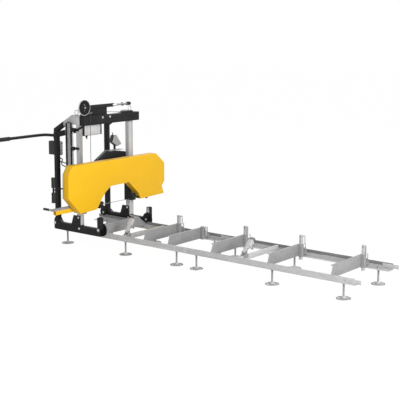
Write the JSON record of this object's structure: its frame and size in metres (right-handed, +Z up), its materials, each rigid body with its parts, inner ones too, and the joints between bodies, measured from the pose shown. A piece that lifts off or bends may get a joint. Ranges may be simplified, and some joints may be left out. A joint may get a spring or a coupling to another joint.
{
  "type": "portable band sawmill",
  "caption": "Portable band sawmill: a levelled rail track with log bunks and clamps, and a rolling carriage whose saw head, blade, engine and guard slide on two masts.",
  "frame": {"origin": "middle of the machine's outline, on the ground under the levelling feet", "axes": "+X along the track towards its free end, +Y across the track away from the operator, +Z up"},
  "size_m": [4.168, 1.878, 1.692],
  "materials": {
    "galvanised": "zinc plated, satin",
    "silver_paint": "silver paint, satin",
    "black_paint": "black powder coat, satin",
    "mast_paint": "light grey metallic paint, satin",
    "black_iron": "black, satin",
    "bright_steel": "bright ground steel",
    "cast_wheel": "turned, satin",
    "grey_plastic": "dark grey, matte",
    "white_plastic": "pale translucent",
    "black_plastic": "black, satin",
    "yellow_paint": "golden yellow gloss paint",
    "engine_alloy": "black painted castings and pressings"
  },
  "bodies": {
    "track": {"near_rail_rear": "galvanised", "near_rail_front": "galvanised", "far_rail_rear": "galvanised", "far_rail_front": "galvanised", "bunk_1": "galvanised", "bunk_2": "galvanised", "bunk_3": "galvanised", "bunk_4": "galvanised", "bunk_5": "galvanised", "bunk_6": "galvanised", "clamp_bar_1": "silver_paint", "clamp_bar_2": "silver_paint"},
    "foot_near_1": {"foot_near_1": "galvanised"},
    "foot_near_2": {"foot_near_2": "galvanised"},
    "foot_near_3": {"foot_near_3": "galvanised"},
    "foot_near_4": {"foot_near_4": "galvanised"},
    "foot_near_5": {"foot_near_5": "galvanised"},
    "foot_near_6": {"foot_near_6": "galvanised"},
    "foot_far_1": {"foot_far_1": "galvanised"},
    "foot_far_2": {"foot_far_2": "galvanised"},
    "foot_far_3": {"foot_far_3": "galvanised"},
    "foot_far_4": {"foot_far_4": "galvanised"},
    "foot_far_5": {"foot_far_5": "galvanised"},
    "foot_far_6": {"foot_far_6": "galvanised"},
    "log_stop_2": {"log_stop_2": "galvanised"},
    "log_stop_3": {"log_stop_3": "galvanised"},
    "log_stop_4": {"log_stop_4": "galvanised"},
    "log_stop_5": {"log_stop_5": "galvanised"},
    "log_stop_6": {"log_stop_6": "galvanised"},
    "clamp_slider_1": {"clamp_slider_1": "galvanised"},
    "clamp_arm_1": {"clamp_arm_1": "galvanised"},
    "clamp_slider_2": {"clamp_slider_2": "galvanised"},
    "clamp_arm_2": {"clamp_arm_2": "galvanised"},
    "carriage": {"near_side_frame": "black_paint", "far_side_frame": "black_paint", "near_mast": "mast_paint", "far_mast": "mast_paint", "crossbeam": "black_paint", "push_handle": "black_paint", "control_box": "grey_plastic", "height_scale": "black_paint", "water_tank": "white_plastic", "lift_cable": "bright_steel"},
    "carriage_wheel_near_1": {"carriage_wheel_near_1": "cast_wheel"},
    "carriage_wheel_near_2": {"carriage_wheel_near_2": "cast_wheel"},
    "carriage_wheel_far_1": {"carriage_wheel_far_1": "cast_wheel"},
    "carriage_wheel_far_2": {"carriage_wheel_far_2": "cast_wheel"},
    "head": {"head_frame": "black_paint", "engine": "engine_alloy", "saw_blade": "bright_steel"},
    "winch_wheel": {"winch_wheel": "black_iron"},
    "lift_lever": {"lift_lever": "black_paint"},
    "winch_pawl": {"winch_pawl": "bright_steel"},
    "tank_tap": {"tank_tap": "black_plastic"},
    "blade_cover": {"blade_cover": "yellow_paint"},
    "band_wheel_near": {"band_wheel_near": "cast_wheel"},
    "band_wheel_far": {"band_wheel_far": "cast_wheel"},
    "guide_arm": {"guide_arm": "yellow_paint"},
    "tension_screw": {"tension_screw": "black_iron"},
    "tension_block": {"tension_block": "bright_steel"}
  },
  "joints": [
    {"name": "foot_near_1_height", "type": "slide", "parent": "track", "child": "foot_near_1", "axis": [0, 0, 1], "range_m": [-0.06, 0.03]},
    {"name": "foot_near_2_height", "type": "slide", "parent": "track", "child": "foot_near_2", "axis": [0, 0, 1], "range_m": [-0.06, 0.03]},
    {"name": "foot_near_3_height", "type": "slide", "parent": "track", "child": "foot_near_3", "axis": [0, 0, 1], "range_m": [-0.06, 0.03]},
    {"name": "foot_near_4_height", "type": "slide", "parent": "track", "child": "foot_near_4", "axis": [0, 0, 1], "range_m": [-0.06, 0.03]},
    {"name": "foot_near_5_height", "type": "slide", "parent": "track", "child": "foot_near_5", "axis": [0, 0, 1], "range_m": [-0.06, 0.03]},
    {"name": "foot_near_6_height", "type": "slide", "parent": "track", "child": "foot_near_6", "axis": [0, 0, 1], "range_m": [-0.06, 0.03]},
    {"name": "foot_far_1_height", "type": "slide", "parent": "track", "child": "foot_far_1", "axis": [0, 0, 1], "range_m": [-0.06, 0.03]},
    {"name": "foot_far_2_height", "type": "slide", "parent": "track", "child": "foot_far_2", "axis": [0, 0, 1], "range_m": [-0.06, 0.03]},
    {"name": "foot_far_3_height", "type": "slide", "parent": "track", "child": "foot_far_3", "axis": [0, 0, 1], "range_m": [-0.06, 0.03]},
    {"name": "foot_far_4_height", "type": "slide", "parent": "track", "child": "foot_far_4", "axis": [0, 0, 1], "range_m": [-0.06, 0.03]},
    {"name": "foot_far_5_height", "type": "slide", "parent": "track", "child": "foot_far_5", "axis": [0, 0, 1], "range_m": [-0.06, 0.03]},
    {"name": "foot_far_6_height", "type": "slide", "parent": "track", "child": "foot_far_6", "axis": [0, 0, 1], "range_m": [-0.06, 0.03]},
    {"name": "log_stop_2_height", "type": "slide", "parent": "track", "child": "log_stop_2", "axis": [0, 0, 1], "range_m": [-0.079, 0.04]},
    {"name": "log_stop_3_height", "type": "slide", "parent": "track", "child": "log_stop_3", "axis": [0, 0, 1], "range_m": [0, 0.09]},
    {"name": "log_stop_4_height", "type": "slide", "parent": "track", "child": "log_stop_4", "axis": [0, 0, 1], "range_m": [-0.079, 0.04]},
    {"name": "log_stop_5_height", "type": "slide", "parent": "track", "child": "log_stop_5", "axis": [0, 0, 1], "range_m": [-0.079, 0.04]},
    {"name": "log_stop_6_height", "type": "slide", "parent": "track", "child": "log_stop_6", "axis": [0, 0, 1], "range_m": [-0.079, 0.04]},
    {"name": "clamp_1_reach", "type": "slide", "parent": "track", "child": "clamp_slider_1", "axis": [0, 1, 0], "range_m": [-0.05, 0.35]},
    {"name": "clamp_1_tilt", "type": "hinge", "parent": "clamp_slider_1", "child": "clamp_arm_1", "pos_m": [-0.917, -0.105, 0.2398], "axis": [1, 0, 0], "range_deg": [-35, 30]},
    {"name": "clamp_2_reach", "type": "slide", "parent": "track", "child": "clamp_slider_2", "axis": [0, 1, 0], "range_m": [-0.05, 0.35]},
    {"name": "clamp_2_tilt", "type": "hinge", "parent": "clamp_slider_2", "child": "clamp_arm_2", "pos_m": [0.668, -0.075, 0.2398], "axis": [1, 0, 0], "range_deg": [-15, 50]},
    {"name": "carriage_travel", "type": "slide", "parent": "track", "child": "carriage", "axis": [1, 0, 0], "range_m": [-0.03, 3.1]},
    {"name": "carriage_wheel_near_1_roll", "type": "hinge", "parent": "carriage", "child": "carriage_wheel_near_1", "pos_m": [-1.893, -0.213, 0.248], "axis": [0, 1, 0], "range_deg": [-62, 6350]},
    {"name": "carriage_wheel_near_2_roll", "type": "hinge", "parent": "carriage", "child": "carriage_wheel_near_2", "pos_m": [-1.195, -0.213, 0.248], "axis": [0, 1, 0], "range_deg": [-62, 6350]},
    {"name": "carriage_wheel_far_1_roll", "type": "hinge", "parent": "carriage", "child": "carriage_wheel_far_1", "pos_m": [-1.893, 0.527, 0.248], "axis": [0, 1, 0], "range_deg": [-62, 6350]},
    {"name": "carriage_wheel_far_2_roll", "type": "hinge", "parent": "carriage", "child": "carriage_wheel_far_2", "pos_m": [-1.195, 0.527, 0.248], "axis": [0, 1, 0], "range_deg": [-62, 6350]},
    {"name": "head_lift", "type": "slide", "parent": "carriage", "child": "head", "axis": [0, 0, 1], "range_m": [-0.16, 0.4], "deforming": ["lift_cable"]},
    {"name": "winch_turn", "type": "hinge", "parent": "carriage", "child": "winch_wheel", "pos_m": [-1.391, -0.2755, 1.604], "axis": [1, 0, 0], "range_deg": [-106, 255]},
    {"name": "lift_lever_swing", "type": "hinge", "parent": "carriage", "child": "lift_lever", "pos_m": [-1.416, -0.2755, 1.604], "axis": [1, 0, 0], "range_deg": [0, 120]},
    {"name": "winch_pawl_swing", "type": "hinge", "parent": "carriage", "child": "winch_pawl", "pos_m": [-1.443, -0.163, 1.532], "axis": [1, 0, 0], "range_deg": [0, 25]},
    {"name": "tank_tap_turn", "type": "hinge", "parent": "carriage", "child": "tank_tap", "pos_m": [-1.491, -0.14, 1.2697], "axis": [1, 0, 0], "range_deg": [0, 90]},
    {"name": "blade_cover_swing", "type": "hinge", "parent": "head", "child": "blade_cover", "pos_m": [-1.367, 0.142, 0.996], "axis": [0, -1, 0], "range_deg": [0, 90]},
    {"name": "band_wheel_far_spin", "type": "hinge", "parent": "head", "child": "band_wheel_far", "pos_m": [-1.322, 0.696, 0.736], "axis": [1, 0, 0], "continuous": true},
    {"name": "band_wheel_near_spin", "type": "hinge", "parent": "tension_block", "child": "band_wheel_near", "pos_m": [-1.322, -0.395, 0.736], "axis": [1, 0, 0], "continuous": true},
    {"name": "tension_screw_turn", "type": "hinge", "parent": "head", "child": "tension_screw", "pos_m": [-1.427, -0.725, 0.736], "axis": [0, -1, 0], "range_deg": [0, 1800]},
    {"name": "tension_block_travel", "type": "slide", "parent": "head", "child": "tension_block", "axis": [0, 1, 0], "range_m": [0, 0.0101]},
    {"name": "guide_arm_reach", "type": "slide", "parent": "head", "child": "guide_arm", "axis": [0, 1, 0], "range_m": [0, 0.35]}
  ],
  "couplings": [
    {"joint": "carriage_wheel_near_1_roll", "follows": "carriage_travel", "rad_per_m": 35.714},
    {"joint": "carriage_wheel_near_2_roll", "follows": "carriage_travel", "rad_per_m": 35.714},
    {"joint": "carriage_wheel_far_1_roll", "follows": "carriage_travel", "rad_per_m": 35.714},
    {"joint": "carriage_wheel_far_2_roll", "follows": "carriage_travel", "rad_per_m": 35.714},
    {"joint": "winch_turn", "follows": "head_lift", "rad_per_m": 10.953},
    {"joint": "band_wheel_near_spin", "follows": "band_wheel_far_spin", "ratio": 1},
    {"joint": "tension_block_travel", "follows": "tension_screw_turn", "m_per_rad": 0.00031831}
  ]
}
